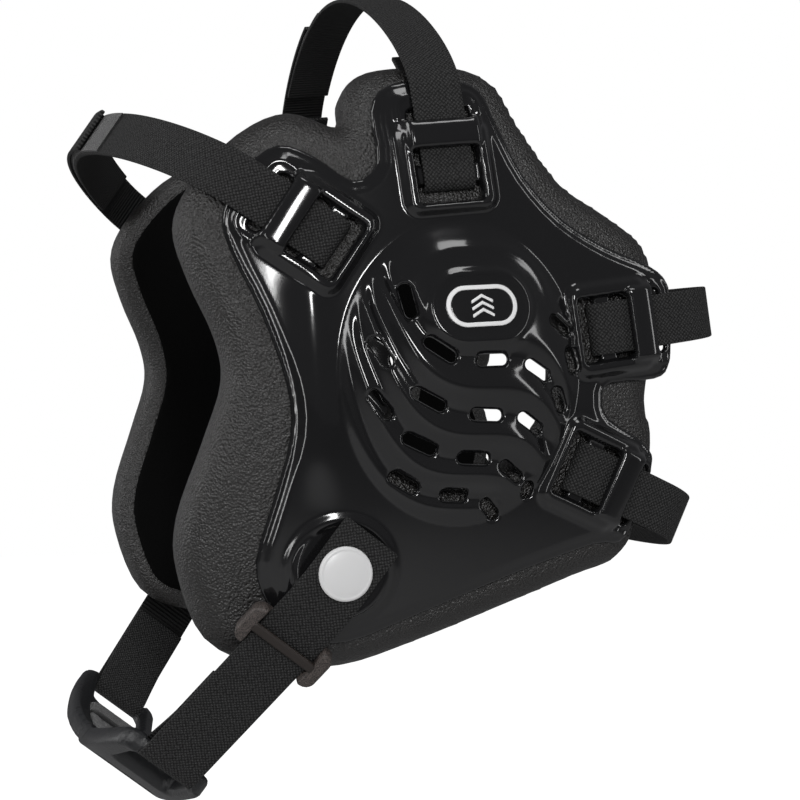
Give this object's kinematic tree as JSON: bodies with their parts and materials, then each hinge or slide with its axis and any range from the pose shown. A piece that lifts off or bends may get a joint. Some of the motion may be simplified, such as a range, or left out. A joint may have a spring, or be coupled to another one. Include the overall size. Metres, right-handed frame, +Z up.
{
  "type": "wrestling headgear",
  "caption": "Sports headgear: hard vented ear guards on thick foam pads, webbing straps over and behind the head, and a detachable chin strap with sliders and a folded chin cup.",
  "frame": {"origin": "the middle of the ear axis, halfway between the two ear guards, where the centre of the wearer's head goes", "axes": "+X is towards the wearer's left ear along the ear axis, -Y is forward, +Z is up"},
  "size_m": [0.2212, 0.1987, 0.2585],
  "materials": {
    "shell": "gloss moulded black",
    "foam": "skinned foam with a pebbled grain",
    "liner": "soft matte cloth face",
    "badge_face": "gloss black",
    "badge_ring": "white",
    "snap_metal": "nickel plated",
    "snap_cap": "white enamel",
    "webbing": "black woven webbing",
    "slider": "speckled grey-brown",
    "cup": "satin moulded rubber",
    "cup_liner": "matte cloth",
    "patch": "hook and loop pile"
  },
  "bodies": {
    "headgear": {"left_ear_shell": "shell", "right_ear_shell": "shell", "left_foam_pad": "foam", "right_foam_pad": "foam", "left_pad_liner": "liner", "right_pad_liner": "liner", "left_badge_plate": "badge_face", "right_badge_plate": "badge_face", "left_badge_ring": "badge_ring", "right_badge_ring": "badge_ring", "left_snap_stud": "snap_metal", "right_snap_stud": "snap_metal", "left_snap_post": "snap_metal", "right_snap_post": "snap_metal", "crown_strap_left": "webbing", "crown_strap_right": "webbing", "forehead_strap_left": "webbing", "forehead_strap_right": "webbing", "upper_rear_strap_left": "webbing", "upper_rear_strap_right": "webbing", "lower_rear_strap_left": "webbing", "lower_rear_strap_right": "webbing", "crown_loop_patch": "patch", "crown_hook_patch": "patch", "forehead_loop_patch": "patch", "forehead_hook_patch": "patch", "upper_rear_loop_patch": "patch", "upper_rear_hook_patch": "patch", "lower_rear_loop_patch": "patch", "lower_rear_hook_patch": "patch"},
    "chin_cup_body": {"chin_cup": "cup", "chin_cup_liner": "cup_liner"},
    "chin_strap_left": {"left_chin_strap": "webbing", "left_snap_socket": "snap_metal", "left_snap_cap": "snap_cap"},
    "chin_strap_right": {"right_chin_strap": "webbing", "right_snap_socket": "snap_metal", "right_snap_cap": "snap_cap"},
    "slider_left": {"left_slider": "slider"},
    "slider_right": {"right_slider": "slider"}
  },
  "joints": [
    {"name": "chin_swing", "type": "hinge", "parent": "headgear", "child": "chin_cup_body", "pos_m": [0, -0.034, -0.057], "axis": [1, 0, 0], "range_deg": [-22, 20]},
    {"name": "strap_open_left", "type": "hinge", "parent": "chin_cup_body", "child": "chin_strap_left", "pos_m": [0.06266, -0.07813, -0.11452], "axis": [0, 0.7934, -0.6088], "range_deg": [0, 60]},
    {"name": "strap_open_right", "type": "hinge", "parent": "chin_cup_body", "child": "chin_strap_right", "pos_m": [-0.06266, -0.07813, -0.11452], "axis": [0, -0.7934, 0.6088], "range_deg": [0, 60]},
    {"name": "slider_left", "type": "slide", "parent": "chin_strap_left", "child": "slider_left", "axis": [-0.4553, -0.542, -0.7063], "range_m": [-0.005, 0.01]},
    {"name": "slider_right", "type": "slide", "parent": "chin_strap_right", "child": "slider_right", "axis": [0.4553, -0.542, -0.7063], "range_m": [-0.005, 0.01]}
  ]
}
